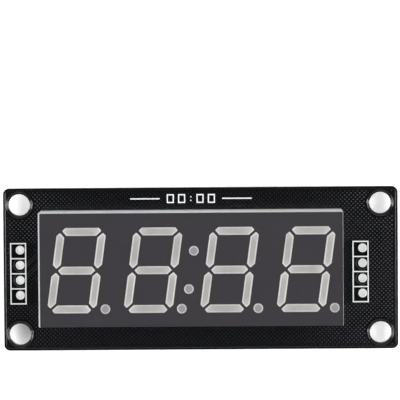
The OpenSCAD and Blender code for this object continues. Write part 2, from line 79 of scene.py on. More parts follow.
# Header holes of both rows, in millimetres, from the top down
HEADERS = {
    side: [Vector(MOUNTS[f"header_hole_{side}_{k}"]["pos_m"]) / MM for k in (1, 2, 3, 4)]
    for side in ("left", "right")
}
HOLE_R = MOUNTS["header_hole_left_1"]["dims"]["r_mm"]
PIN_R = 0.25
PINS_IN_ROW = 6
HALF_SPACING = (
    MOUNTS["mounting_holes"]["dims"]["spacing_x_mm"] / 2,
    MOUNTS["mounting_holes"]["dims"]["spacing_y_mm"] / 2,
)
SEGMENTS = [f"digit_{n}_segment_{s}" for n in (1, 2, 3, 4) for s in "abcdefg"]
DOTS = [f"digit_{n}_decimal_point" for n in (1, 2, 3, 4)] + ["colon_dot_upper", "colon_dot_lower"]
# Copper tracks that show through the mask: level in y, first and last x, and the 45 degree bends
# as the x where each starts and its rise
FRONT_TRACKS = (
    (0.77, -30.25, -26.0, ((-29.1, 4.0),)),
    (-1.77, -30.25, -26.0, ((-29.8, 4.0),)),
)
BACK_TRACKS = (
    (3.1, -30.25, -7.8, ((-20.0, 3.2), (-9.53, 1.73))),
    (0.7, -30.25, -7.0, ((-14.5, -2.6),)),
    (-1.7, -30.25, -7.0, ((-16.0, -0.9),)),
    (-4.1, -30.25, -7.8, ((-20.0, -1.4), (-9.5, -1.71))),
    (1.23, -10.45, -7.0, ()),
    (-0.42, -10.45, -7.0, ()),
    (1.6, 4.0, 27.35, ((22.29, 1.71),)),
    (0.8, 4.0, 27.35, ()),
    (0.0, 4.0, 27.35, ((22.23, -1.77),)),
    (-0.8, 4.0, 27.35, ((20.49, -3.51),)),
)
# The distance from a track is taken straight across it, and shortened a little for its bends
SLANT = 0.9
# The eye's place in metres and its turn, found from the board's corners in the picture
EYE_PLACE = (0.0061174, 0.0390872, 0.600405)
EYE_TURN = (-0.04603622, 0.00973315, -0.00732539)


# ---- Materials ----


class Wire:
    """A value in a material. Arithmetic on it adds the Math nodes that work the value out."""

    def __init__(self, finish, socket):
        self.finish, self.socket = finish, socket

    def math(self, operation, *values):
        return self.finish.add("ShaderNodeMath", {"operation": operation}, values)

    def __add__(self, other):
        return self.math("ADD", self, other)

    def __radd__(self, other):
        return self.math("ADD", other, self)

    def __sub__(self, other):
        return self.math("SUBTRACT", self, other)

    def __rsub__(self, other):
        return self.math("SUBTRACT", other, self)

    def __mul__(self, other):
        return self.math("MULTIPLY", self, other)

    def __rmul__(self, other):
        return self.math("MULTIPLY", other, self)

    def __truediv__(self, other):
        return self.math("DIVIDE", self, other)

    def __rtruediv__(self, other):
        return self.math("DIVIDE", other, self)

    def __pow__(self, other):
        return self.math("POWER", self, other)

    def __rpow__(self, other):
        return self.math("POWER", other, self)

    def __abs__(self):
        return self.math("ABSOLUTE", self)

    def at_least(self, other):
        return self.math("MAXIMUM", self, other)

    def at_most(self, other):
        return self.math("MINIMUM", self, other)

    def to_nearest(self):
        """How far the value lies from the nearest whole number."""
        return self.math("PINGPONG", self + 0.5, 0.5) * -1 + 0.5

    def signed_part(self):
        """How far the value lies above or below the nearest whole number."""
        return self.math("WRAP", self, 0.5, -0.5)

    def step(self, low, high):
        """Rises smoothly from 0 at low to 1 at high, or falls if low is the larger."""
        return self.finish.add(
            "ShaderNodeMapRange",
            {"interpolation_type": "SMOOTHSTEP"},
            {"Value": self, "From Min": low, "From Max": high},
        )

    def line(self, middle, half, soft):
        """1 on a line of that half width about the middle value, with soft edges."""
        return abs(self - middle).step(half + soft, half)


class Finish:
    """A material under construction, with one Principled shader."""

    def __init__(self, name, **constants):
        self.material = bpy.data.materials.new(name)
        self.material.use_nodes = True
        self.nodes = self.material.node_tree.nodes
        self.shader = self.nodes["Principled BSDF"]
        for name, value in constants.items():
            self.shader.inputs[name.replace("_", " ")].default_value = value

    def add(self, kind, settings=None, values=(), output=0):
        """Adds a node: first its settings, then the values or wires of its sockets."""
        node = self.nodes.new(kind)
        for name, value in (settings or {}).items():
            setattr(node, name, value)
        for name, value in values.items() if isinstance(values, dict) else enumerate(values):
            self.feed(node.inputs[name], value)
        return Wire(self, node.outputs[output])

    def feed(self, socket, value):
        if isinstance(value, Wire):
            self.material.node_tree.links.new(value.socket, socket)
        else:
            socket.default_value = value

    def place(self):
        """Where a point lies on the object, in millimetres: the vector and its three parts."""
        metres = self.add("ShaderNodeTexCoord", output="Object")
        here = self.add(
            "ShaderNodeVectorMath", {"operation": "SCALE"}, {0: metres, "Scale": 1 / MM}
        )
        return (here, *self.parts(here))

    def parts(self, vector):
        """The x, y and z of a vector."""
        split = self.add("ShaderNodeSeparateXYZ", values=(vector,))
        return [Wire(self, socket) for socket in split.socket.node.outputs]

    def facing(self):
        """The parts of the surface's direction."""
        return self.parts(self.add("ShaderNodeNewGeometry", output="Normal"))

    def noise(self, here, size, detail=3.0):
        """Cloudy variation about 0, with lumps of that size in millimetres."""
        cloud = self.add(
            "ShaderNodeTexNoise",
            values={"Vector": here, "Scale": 1 / size, "Detail": detail, "Roughness": 0.55},
        )
        return cloud - 0.5

    def stretched(self, here, x, y, z):
        """The place with its three parts scaled, for lumps that are longer one way."""
        return self.add(
            "ShaderNodeVectorMath", {"operation": "MULTIPLY"}, {0: here, 1: (x, y, z)}
        )

    def mix(self, share, low, high):
        """The colour low where share is 0 and high where it is 1."""
        low, high = (c if isinstance(c, Wire) else (*c, 1.0) for c in (low, high))
        return self.add(
            "ShaderNodeMix", {"data_type": "RGBA"}, {0: share, 6: low, 7: high}, output=2
        )

    def tone(self, colour, factor):
        """The colour made lighter or darker by a factor near 1."""
        colour = colour if isinstance(colour, Wire) else tuple(colour)
        grey = self.add("ShaderNodeCombineXYZ", values=(factor, factor, factor))
        return self.add("ShaderNodeVectorMath", {"operation": "MULTIPLY"}, {0: colour, 1: grey})

    def relief(self, height, strength):
        """Bends the shading by a height in millimetres."""
        bump = self.add(
            "ShaderNodeBump", values={"Height": height, "Distance": MM, "Strength": strength}
        )
        self.feed(self.shader.inputs["Normal"], bump)

    def box_distance(self, x, y, middle, half, corner=0.0):
        """Distance outside a rectangle with rounded corners, below 0 inside it."""
        qx = abs(x - middle[0]) - (half[0] - corner)
        qy = abs(y - middle[1]) - (half[1] - corner)
        outside = (qx.at_least(0) ** 2 + qy.at_least(0) ** 2) ** 0.5
        return outside + qx.at_least(qy).at_most(0) - corner

    def set(self, **wires):
        """Feeds the shader and hands over the finished material."""
        for name, value in wires.items():
            self.feed(self.shader.inputs[name.replace("_", " ")], value)
        return self.material


def in_mm(look, *names):
    """Those lengths of a property group, in millimetres."""
    return (getattr(look, name) / MM for name in names)


def nearest_track(x, y, tracks):
    """Distance from the middle of the nearest of these tracks, in millimetres."""
    nearest = 99
    for level, first, last, bends in tracks:
        middle = level
        for start, rise in bends:
            run = (x - start).at_least(0).at_most(abs(rise))
            middle = run * math.copysign(1, rise) + middle
        beside = (abs(y - middle) * SLANT).at_least(first - x).at_least(x - last)
        nearest = beside.at_most(nearest)
    return nearest


def pin_row(x, y):
    """Distances from the tracks between the display's pins and the chip, and from the pins."""
    low, high = (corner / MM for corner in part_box("display_pins"))
    pitch = (high.x - low.x - 2 * PIN_R) / (PINS_IN_ROW - 1)
    middle, away = (low.y + high.y) / 2, (high.y - low.y) / 2 - PIN_R
    u = ((x - (low.x + PIN_R)) / pitch).signed_part() * pitch
    v = abs(y - middle)
    bend = (v * -1 + away - 1).at_least(0).at_most(pitch / 4)
    tracks = (abs(u + bend) * SLANT).at_least(away - 2.5 - v).at_least(v - away)
    outside = (low.x + 0.7 - x).at_least(x - high.x - 0.5)
    pins = (u ** 2 + (v - away) ** 2) ** 0.5
    return tracks.at_least(outside), pins.at_least((outside - 1.3) * 9)


def board_finish(s):
    """Black solder mask over hatched copper, and bare laminate on the cut edges."""
    f = Finish("black_solder_mask", IOR=1.5)
    here, x, y, _ = f.place()
    up = f.facing()[2]
    face, back = abs(up).step(0.5, 0.8), up.step(-0.5, -0.8)
    corner, edge, ring_inner, ring_outer, pad_ring, pitch, width = in_mm(
        s, "board_corner", "copper_edge", "ring_inner", "ring_outer", "pad_ring", "hatch_pitch",
        "hatch_hole",
    )

    middle = (BOARD_LOW + BOARD_HIGH) / 2
    half = (BOARD_HIGH - BOARD_LOW) / 2
    inside = f.box_distance(x, y, middle, half, corner) * -1
    hole_x, hole_y = abs(x) - HALF_SPACING[0], abs(y) - HALF_SPACING[1]
    hole = (hole_x * hole_x + hole_y * hole_y) ** 0.5

    # The copper stops short of the edge, and a ring of it stands free round each screw hole
    copper = inside.step(edge - 0.06, edge + 0.06)
    copper = copper * (1 - hole.line((ring_inner + ring_outer) / 2, 0.05, 0.06))
    # The mask is painted lighter along the copper's edge, a painted highlight of the glint on its
    # step
    outline = inside.line(edge, 0.04, 0.07) * 0.15
    # Signal pads stand clear of the copper, in a ring
    for row in HEADERS.values():
        for pad in row[1:3]:
            away = ((x - pad.x) ** 2 + (y - pad.y) ** 2) ** 0.5
            copper = copper * (1 - away.line(pad_ring, 0.03, 0.06))
            # and lighter along the ring, a painted highlight
            outline = outline.at_least(away.line(pad_ring, 0.02, 0.05))

    # Tracks run between two fine gaps, and the copper keeps clear of the display's pins
    pin_tracks, pins = pin_row(x, y)
    behind = nearest_track(x, y, BACK_TRACKS).at_most(pin_tracks)
    track = nearest_track(x, y, FRONT_TRACKS) * (1 - back) + behind * back
    gap = track.line(0.26, 0.07, 0.06).at_least(pins.line(1.12, 0.05, 0.06) * back)
    copper = copper * (1 - gap)
    # The gaps are painted lighter too, a painted highlight
    outline = outline.at_least(gap * 0.3)

    # Square holes in the hatched copper, set on the diagonal
    diagonal = pitch * math.sqrt(2)
    u, v = ((x + y) / diagonal).to_nearest(), ((x - y) / diagonal).to_nearest()
    pit_and_painted_glint = ((u * u + v * v) ** 0.5 * pitch).step(width * 0.75, width * 0.35)
    hatched = inside.step(edge + 0.2, edge + 0.5) * hole.step(2.4, 2.75)
    hatched = hatched * track.step(0.35, 0.6)
    # The hatch is painted weaker over the middle of the board, stronger at the right margin and
    # weaker toward the bottom away from the right, in colour and relief: a painted highlight of its
    # glints
    hatched = hatched * (abs(x).step(13, 32) * 0.57 + 0.43) * (x.step(24, 30) * 0.2 + 1)
    hatched = hatched * (y.step(-10, 3) * 0.3 + 0.7).at_least(x.step(0, 22))
    for side, shift in (("left", 1), ("right", -1)):
        low, high = (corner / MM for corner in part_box(f"header_marks_{side}"))
        middle, half_box = (low + high) / 2, (high - low) / 2
        hatched = hatched * f.box_distance(x, y, middle, half_box).step(0.05, 0.25)
        # The hatch is painted weaker in the strip between the header's box and the display too, a
        # painted shade beside the display
        painted_shade_strip = middle + Vector((2.6 * shift, 0, 0))
        beside = f.box_distance(x, y, painted_shade_strip, (1.4, 5.2), 0.3)
        hatched = hatched * (beside.step(-0.4, 0.6) * 0.65 + 0.35)
    pit_and_painted_glint = pit_and_painted_glint * hatched

    mottle = f.noise(here, 0.6)
    # The hatch's holes are painted lighter than the mask, a painted highlight of their glints
    mask = f.mix(pit_and_painted_glint * 0.9, s.mask, s.painted_pit_glint)
    # The painted highlights along the copper's edges, rings and gaps go over the mask
    mask = f.mix(outline * 0.8, mask, s.painted_edge_glint)
    mask = f.tone(mask, 1 + mottle * 0.35)
    layers = f.noise(f.stretched(here, 0.6, 0.6, 9.0), 0.7, 2.0)
    cut = f.mix(layers + 0.5, s.laminate, s.laminate_dark)

    f.relief((copper * 0.04 - pit_and_painted_glint * 0.018 + mottle * 0.001) * face, 1.0)
    rough = 0.2 + mottle * 0.08
    return f.set(Base_Color=f.mix(face, cut, mask), Roughness=rough * face + 0.75 * (1 - face))


def ink_finish(s):
    """White screen-printed ink: even, with a faint grain."""
    f = Finish("white_ink")
    grain = f.noise(f.place()[0], 0.09)
    f.relief(grain * 0.01, 0.5)
    return f.set(Base_Color=f.tone(s.ink, 1 + grain * 0.12), Roughness=0.6 + grain * 0.2)


def moulding_finish(s):
    """White moulded plastic with a fine satin skin."""
    f = Finish("white_moulding")
    here, _, y, z = f.place()
    skin = f.noise(here, 0.25)
    flow = f.noise(f.stretched(here, 0.15, 0.5, 1.0), 3.0)
    f.relief(skin * 0.006 + flow * 0.01, 0.6)
    # The print runs over the lower edge of the face, and a faint film of it over the upper edge
    brim = z.step(BODY_HIGH.z - 0.12, BODY_HIGH.z)
    run = y.step(PRINT_LOW.y + 0.005, PRINT_LOW.y - 0.005) * brim
    film = y.step(PRINT_HIGH.y - 0.05, PRINT_HIGH.y + 0.05) * brim
    plastic = f.tone(s.moulding, 1 - film * 0.22 + flow * 0.2 + skin * 0.05)
    return f.set(Base_Color=f.mix(run, plastic, s.face), Roughness=0.42 + skin * 0.2)


def print_finish(s):
    """Dark print on the face: a fine even film, a little darker along its edge."""
    f = Finish("dark_face_print", Specular_IOR_Level=0.3)
    here, x, y, _ = f.place()
    middle, half = (PRINT_LOW + PRINT_HIGH) / 2, (PRINT_HIGH - PRINT_LOW) / 2
    edge = f.box_distance(x, y, middle, half).step(-0.35, 0.0)
    grain, cloud = f.noise(here, 0.12), f.noise(here, 4.0)
    f.relief(grain * 0.006, 0.4)
    return f.set(
        Base_Color=f.tone(s.face, 1 - edge * 0.12 + grain * 0.22 + cloud * 0.16),
        Roughness=0.55 + grain * 0.2,
    )


def resin_finish(name, core, rim, tips):
    """Milky cast resin. The rim attribute is 1 where the white wall of the well shines through,
    and a segment grows lighter toward its two tips, where the along attribute is 1 and -1."""
    f = Finish(name, IOR=1.5)
    here = f.place()[0]
    wall = f.add("ShaderNodeAttribute", {"attribute_name": "rim"}, output="Fac")
    along = f.add("ShaderNodeAttribute", {"attribute_name": "along"}, output="Fac")
    cloud, haze = f.noise(here, 0.9), f.noise(here, 0.16)
    drift = f.noise(f.stretched(here, 1.0, 0.4, 1.0), 2.5, 1.0)
    f.relief(cloud * 0.02 + haze * 0.003, 0.5)
    tip = abs(along).step(0.35, 1.15) * tips
    resin = f.mix((wall * (drift * 1.2 + 0.9)).at_least(tip), core, rim)
    return f.set(
        Base_Color=f.tone(resin, 1 + cloud * 0.2 + haze * 0.14 + drift * 0.2),
        Roughness=0.38 + haze * 0.25,
    )


def metal_finish(name, colour, roughness, ripple, grain_size, metallic=0.85):
    """Tin or solder: bright, with the faint ripple of metal that ran and set."""
    f = Finish(name)
    here = f.place()[0]
    wave, grain = f.noise(here, 0.5), f.noise(here, grain_size)
    f.relief(wave * ripple + grain * 0.006, 0.8)
    return f.set(
        Base_Color=f.tone(colour, 1 + wave * 0.3 + grain * 0.35),
        Metallic=metallic + grain * 0.2,
        Roughness=roughness + grain * 0.25 + wave * 0.1,
    )


def cast_finish(name, colour, roughness, size, depth, contrast, **constants):
    """Plain cast or pressed stuff, such as epoxy or ceramic, with its grain."""
    f = Finish(name, **constants)
    here = f.place()[0]
    grain, cloud = f.noise(here, size), f.noise(here, size * 9)
    f.relief(grain * depth, 0.8)
    return f.set(
        Base_Color=f.tone(colour, 1 + grain * contrast + cloud * contrast * 0.7),
        Roughness=roughness + grain * 0.2,
    )


# ---- Modelling ----


def alone(piece):
    """Selects only this object and makes it the active one."""
    if bpy.context.object and bpy.context.object.mode != "OBJECT":
        bpy.ops.object.mode_set(mode="OBJECT")
    bpy.ops.object.select_all(action="DESELECT")
    piece.select_set(True)
    bpy.context.view_layer.objects.active = piece


def pick_faces(piece, test):
    """Enters edit mode with only those faces selected that pass the test."""
    alone(piece)
    bpy.ops.object.mode_set(mode="EDIT")
    bpy.ops.mesh.select_mode(type="FACE")
    bpy.ops.mesh.select_all(action="DESELECT")
    bpy.ops.object.mode_set(mode="OBJECT")
    for face in piece.data.polygons:
        face.select = test(face)
    bpy.ops.object.mode_set(mode="EDIT")


def copy_of(node, name):
    """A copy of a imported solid's mesh, with its loose triangles merged into whole faces."""
    piece = bpy.data.objects.new(name, frame["nodes"][node].data.copy())
    bpy.context.scene.collection.objects.link(piece)
    alone(piece)
    bpy.ops.object.mode_set(mode="EDIT")
    bpy.ops.mesh.select_all(action="SELECT")
    bpy.ops.mesh.remove_doubles(threshold=MERGE * MM)
    bpy.ops.mesh.dissolve_limited(angle_limit=math.radians(0.5))
    bpy.ops.object.mode_set(mode="OBJECT")
    return piece


def finished(piece, material, *nodes, slot, smooth=35):
    """Gives a piece its material, its smooth shading and its body, and hides the solids it stands
    for.
    """
    alone(piece)
    piece.data.materials.clear()
    piece.data.materials.append(material)
    bpy.ops.object.shade_smooth_by_angle(angle=math.radians(smooth))
    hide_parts(*nodes)
    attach(piece, "root")


def dress(material, *nodes):
    """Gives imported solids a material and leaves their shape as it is."""
    for name in nodes:
        node = frame["nodes"][name]
        if not node.material_slots:
            node.data.materials.append(material)
        for slot in node.material_slots:
            slot.material = material


def soften(piece, width, segments, angle):
    """Rounds the sharp edges of a piece by a bevel of that width in millimetres."""
    alone(piece)
    bevel = piece.modifiers.new("Bevel", "BEVEL")
    bevel.width, bevel.segments = width * MM, segments
    bevel.limit_method, bevel.angle_limit = "ANGLE", math.radians(angle)
    bpy.ops.object.modifier_apply(modifier=bevel.name)


def lathe(name, profile, places, sides=40):
    """Turns a closed outline of (radius, height) points about Z and copies it to each place."""
    bpy.ops.object.select_all(action="DESELECT")
    first_r, first_z = profile[0]
    bpy.ops.mesh.primitive_circle_add(
        vertices=sides, radius=first_r * MM, location=(0, 0, first_z * MM)
    )
    piece = bpy.context.object
    piece.name = name
    bpy.ops.object.transform_apply(location=True)
    bpy.ops.object.mode_set(mode="EDIT")
    bpy.ops.mesh.select_all(action="SELECT")
    before = profile[0]
    for r, z in profile[1:] + profile[:1]:
        bpy.ops.mesh.extrude_edges_move(
            TRANSFORM_OT_translate={"value": (0, 0, (z - before[1]) * MM)}
        )
        bpy.ops.transform.resize(
            value=(r / before[0], r / before[0], 1), center_override=(0, 0, z * MM)
        )
        before = (r, z)
    bpy.ops.mesh.select_all(action="SELECT")
    bpy.ops.mesh.remove_doubles(threshold=MERGE * MM)
    bpy.ops.mesh.normals_make_consistent(inside=False)
    for made, place in enumerate(places[1:], 1):
        bpy.ops.mesh.select_all(action="DESELECT")
        bpy.ops.object.mode_set(mode="OBJECT")
        for face in piece.data.polygons[:len(piece.data.polygons) // made]:
            face.select = True
        bpy.ops.object.mode_set(mode="EDIT")
        bpy.ops.mesh.duplicate_move(
            TRANSFORM_OT_translate={"value": (place - places[0]) * MM}
        )
    bpy.ops.mesh.select_all(action="SELECT")
    bpy.ops.transform.translate(value=Vector((places[0].x, places[0].y, 0)) * MM)
    bpy.ops.object.mode_set(mode="OBJECT")
    return piece


def cast_top(piece, rim, sink):
    """Insets the flat top of a resin piece. The rim attribute stays full on the outer half of the
    rim and falls to 0 on its inner half, where the resin sinks a little below its outline."""
    flush = max(v.co.z for v in piece.data.vertices) - 1e-6
    pick_faces(piece, lambda face: face.normal.z > 0.99 and face.center.z > flush)
    rings = []
    # Points are merged after each step, so that the narrow corners don't fold over themselves
    for width, drop in ((rim * 0.5, 0.0), (rim * 0.5, sink), (rim * 0.15, 0.0)):
        bpy.ops.mesh.inset(thickness=width * MM)
        bpy.ops.mesh.remove_doubles(threshold=0.07 * MM)
        bpy.ops.transform.translate(value=(0, 0, -drop * MM))
        bpy.ops.object.mode_set(mode="OBJECT")
        rings.append({v.index for v in piece.data.vertices if v.select})
        bpy.ops.object.mode_set(mode="EDIT")
    bpy.ops.object.mode_set(mode="OBJECT")
    mesh = piece.data
    # The along attribute runs from -1 to 1 between the two points of the top farthest apart
    tops = [v.co for v in mesh.vertices if v.co.z > flush]
    end, tip = max(combinations(tops, 2), key=lambda pair: (pair[0] - pair[1]).length)
    middle, reach = (end + tip) / 2, (tip - end) / 2
    along = mesh.attributes.new("along", "FLOAT", "CORNER")
    for corner, loop in enumerate(mesh.loops):
        spot = mesh.vertices[loop.vertex_index].co - middle
        along.data[corner].value = spot.dot(reach) / reach.length_squared
    level = mesh.attributes.new("rim", "FLOAT", "CORNER")
    inner = rings[1] | rings[2]
    for face in mesh.polygons:
        if face.normal.z < 0.9 or inner.issuperset(face.vertices):
            continue
        runs = [mesh.vertices[a].co - mesh.vertices[b].co for a, b in face.edge_keys]
        run = max(runs, key=lambda edge: edge.length)
        # The rim shows less along an edge that lies across the digit than along an upright one
        lying = abs(run.x) > 4 * abs(run.y)
        for corner in face.loop_indices:
            if mesh.loops[corner].vertex_index not in inner:
                level.data[corner].value = 0.55 if lying else 1.0


# ---- Sizes and colours ----


class BoardLook(bpy.types.PropertyGroup):
    mask: bpy.props.FloatVectorProperty(
        name="Solder Mask", description="Colour of the mask", subtype="COLOR",
        default=(0.0022, 0.0025, 0.0039),
    )
    # Lighter than the mask: a painted highlight for the glint on the sloped mask in the hatch's
    # holes
    painted_pit_glint: bpy.props.FloatVectorProperty(
        name="Hatch", description="Colour of the mask in the holes of the hatched copper",
        subtype="COLOR", default=(0.045, 0.045, 0.048),
    )
    # A painted highlight: the mask is painted lighter along the copper's edges, gaps and pad rings
    painted_edge_glint: bpy.props.FloatVectorProperty(
        name="Copper Edge", description="Colour of the thin mask along the copper's edge",
        subtype="COLOR", default=(0.06, 0.06, 0.065),
    )
    laminate: bpy.props.FloatVectorProperty(
        name="Laminate", description="Colour of the cut edges", subtype="COLOR",
        default=(0.42, 0.40, 0.34),
    )
    laminate_dark: bpy.props.FloatVectorProperty(
        name="Laminate Layers", description="Colour between the glass layers", subtype="COLOR",
        default=(0.2, 0.18, 0.14),
    )
    ink: bpy.props.FloatVectorProperty(
        name="Ink", description="Colour of the printed marks", subtype="COLOR",
        default=(0.93, 0.93, 0.93),
    )
    board_corner: bpy.props.FloatProperty(
        name="Board Corner", description="Radius of the board's corners", subtype="DISTANCE",
        default=1.0 * MM, min=0.1 * MM,
    )
    copper_edge: bpy.props.FloatProperty(
        name="Copper Setback", description="From the board's edge to the copper",
        subtype="DISTANCE", default=0.36 * MM, min=0.05 * MM,
    )
    ring_inner: bpy.props.FloatProperty(
        name="Ring", description="Radius of the copper ring at a screw hole",
        subtype="DISTANCE", default=1.9 * MM, min=1.8 * MM,
    )
    ring_outer: bpy.props.FloatProperty(
        name="Ring Gap", description="Radius where the copper goes on", subtype="DISTANCE",
        default=2.17 * MM, min=1.9 * MM,
    )
    pad_ring: bpy.props.FloatProperty(
        name="Pad Ring", description="Radius of the gap round a signal pad",
        subtype="DISTANCE", default=1.08 * MM, min=0.8 * MM,
    )
    hatch_pitch: bpy.props.FloatProperty(
        name="Hatch Pitch", description="Between the holes of the hatched copper",
        subtype="DISTANCE", default=0.508 * MM, min=0.2 * MM,
    )
    hatch_hole: bpy.props.FloatProperty(
        name="Hatch Hole", description="Width of a hole of the hatched copper",
        subtype="DISTANCE", default=0.2 * MM, min=0.05 * MM,
    )


class DisplayLook(bpy.types.PropertyGroup):
    moulding: bpy.props.FloatVectorProperty(
        name="Moulding", description="Colour of the body", subtype="COLOR",
        default=(0.63, 0.63, 0.645),
    )
    face: bpy.props.FloatVectorProperty(
        name="Face Print", description="Colour of the dark face", subtype="COLOR",
        default=(0.0302, 0.0277, 0.0332),
    )
    segment: bpy.props.FloatVectorProperty(
        name="Segment", description="Colour of the resin", subtype="COLOR",
        default=(0.405, 0.388, 0.38),
    )
    segment_rim: bpy.props.FloatVectorProperty(
        name="Segment Rim", description="Colour where the white wall shines through",
        subtype="COLOR", default=(0.66, 0.645, 0.64),
    )
    dot: bpy.props.FloatVectorProperty(
        name="Dot", description="Colour of the resin in the dots", subtype="COLOR",
        default=(0.285, 0.28, 0.282),
    )
    dot_rim: bpy.props.FloatVectorProperty(
        name="Dot Ring", description="Colour of the lighter ring of a dot", subtype="COLOR",
        default=(0.56, 0.55, 0.55),
    )
    tip_glow: bpy.props.FloatProperty(
        name="Tips", description="Share of the rim's colour at the tips of a segment",
        subtype="FACTOR", default=0.6, min=0, max=1,
    )
    rim_width: bpy.props.FloatProperty(
        name="Rim", description="Width of the lighter rim", subtype="DISTANCE",
        default=0.2 * MM, min=0.05 * MM,
    )
    rim_sink: bpy.props.FloatProperty(
        name="Sink", description="How far the resin sinks below its outline",
        subtype="DISTANCE", default=0.012 * MM, min=0,
    )


class PartsLook(bpy.types.PropertyGroup):
    tin: bpy.props.FloatVectorProperty(
        name="Tin", description="Colour of the tinned metal", subtype="COLOR",
        default=(0.92, 0.92, 0.91),
    )
    solder: bpy.props.FloatVectorProperty(
        name="Solder", description="Colour of the solder", subtype="COLOR",
        default=(0.70, 0.71, 0.72),
    )
    epoxy: bpy.props.FloatVectorProperty(
        name="Chip", description="Colour of the chip's epoxy", subtype="COLOR",
        default=(0.018, 0.018, 0.019),
    )
    capacitor: bpy.props.FloatVectorProperty(
        name="Capacitor", description="Colour of the capacitors", subtype="COLOR",
        default=(0.36, 0.21, 0.10),
    )
    resistor: bpy.props.FloatVectorProperty(
        name="Resistor", description="Colour of the resistors", subtype="COLOR",
        default=(0.012, 0.012, 0.014),
    )


class StageLook(bpy.types.PropertyGroup):
    left_light: bpy.props.FloatProperty(
        name="Left Light", description="Power of the left soft box", subtype="POWER", default=3.4
    )
    right_light: bpy.props.FloatProperty(
        name="Right Light", description="Power of the right soft box", subtype="POWER", default=2.9
    )
    far_light: bpy.props.FloatProperty(
        name="Far Light", description="Power of the soft box beyond the top edge",
        subtype="POWER", default=0.3,
    )
    near_light: bpy.props.FloatProperty(
        name="Near Light", description="Power of the soft box below the bottom edge",
        subtype="POWER", default=1.7,
    )
    floor_glow: bpy.props.FloatProperty(
        name="Floor Glow", description="Light given off by the white floor", default=0.54, min=0
    )
    world: bpy.props.FloatProperty(
        name="Room", description="Strength of the dim room round the lights", default=0.03, min=0
    )
    lens: bpy.props.FloatProperty(
        name="Lens", description="Focal length on a 36 mm sensor", subtype="DISTANCE_CAMERA",
        default=320.975,
    )


# ---- Operators ----


class MODULE_OT_board(bpy.types.Operator):
    """Dresses the circuit board in black solder mask over hatched copper"""

    bl_idname = "module.board"
    bl_label = "Circuit Board"

    def execute(self, context):
        look = context.scene.module_board
        dress(board_finish(look), "circuit_board")
        ink = ink_finish(look)
        dress(ink, "header_marks_left", "header_marks_right", "front_mark")
        return {"FINISHED"}


class MODULE_OT_hole_rings(bpy.types.Operator):
    """Turns the mask-covered copper rings that stand a little proud round the screw holes"""

    bl_idname = "module.hole_rings"
    bl_label = "Rings Round The Screw Holes"

    def execute(self, context):
        look = context.scene.module_board
        mask = cast_finish(
            "ring_mask", look.mask, roughness=0.14, size=0.5, depth=0.001, contrast=0.3, IOR=1.8
        )
        # A ring's section is a low hump, with its foot a little under the board's face
        half, rise, foot = 0.09, 0.036, BOARD_HIGH.z - 0.004
        section = [(u, 0.5 + 0.5 * math.cos(math.pi * u)) for u in (1 - k / 5 for k in range(11))]
        places = [
            Vector((i * HALF_SPACING[0], j * HALF_SPACING[1], 0)) for i in (-1, 1) for j in (-1, 1)
        ]
        for name, radius in (
            ("inner_copper_ring", look.ring_inner / MM), ("outer_copper_ring", look.ring_outer / MM)
        ):
            profile = [(radius + half * u, foot + rise * v) for u, v in section]
            ring = lathe(name, profile, places, sides=64)
            alone(ring)
            ring.data.materials.append(mask)
            bpy.ops.object.shade_smooth_by_angle(angle=math.radians(60))
            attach(ring, "root")
        return {"FINISHED"}


class MODULE_OT_header_pads(bpy.types.Operator):
    """Turns the tinned pads and barrels of both header rows"""

    bl_idname = "module.header_pads"
    bl_label = "Header Pads"

    def execute(self, context):
        look = context.scene.module_parts
        tin = metal_finish(
            "tinned_pads", look.tin, roughness=0.5, ripple=0.05, grain_size=0.3, metallic=0.15
        )
        low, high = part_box("header_pads_left")
        pad_r = (high.x - low.x) / 2 / MM
        bottom, top = low.z / MM, high.z / MM
        # The barrel lines the hole, and each pad is rounded toward its outline and the hole
        plating, edge, seat = 0.012, 0.05, HOLE_R + 0.001
        wall = HOLE_R - plating
        profile = [
            (wall, bottom + 0.03), (wall, top - 0.03), (wall + plating, top - 0.005),
            (wall + edge, top), (pad_r - edge, top - 0.004), (pad_r - plating, top - 0.016),
            (pad_r, BOARD_HIGH.z), (seat, BOARD_HIGH.z), (seat, BOARD_LOW.z),
            (pad_r, BOARD_LOW.z), (pad_r - plating, bottom + 0.016),
            (pad_r - edge, bottom + 0.004), (wall + edge, bottom), (wall + plating, bottom + 0.005),
        ]
        for side, row in HEADERS.items():
            pads = lathe(f"tinned_pads_{side}", profile, row)
            finished(pads, tin, f"header_pads_{side}", slot="tinned_copper")
        return {"FINISHED"}


class MODULE_OT_display_body(bpy.types.Operator):
    """Dresses the white moulded body and its dark printed face"""

    bl_idname = "module.display_body"
    bl_label = "Display Body"

    def execute(self, context):
        look = context.scene.module_display
        dress(moulding_finish(look), "display_body")
        dress(print_finish(look), "face_print")
        return {"FINISHED"}


class MODULE_OT_segments(bpy.types.Operator):
    """Casts the resin of the segments and dots, with the lighter rim along their outlines"""

    bl_idname = "module.segments"
    bl_label = "Segments And Dots"

    def execute(self, context):
        look = context.scene.module_display
        segment = resin_finish("segment_resin", look.segment, look.segment_rim, look.tip_glow)
        dot = resin_finish("dot_resin", look.dot, look.dot_rim, tips=0.0)
        rim, sink = in_mm(look, "rim_width", "rim_sink")
        for nodes, resin in ((SEGMENTS, segment), (DOTS, dot)):
            for node in nodes:
                piece = copy_of(node, f"resin_{node}")
                cast_top(piece, rim, sink)
                finished(piece, resin, node, slot="diffusing_resin")
        return {"FINISHED"}


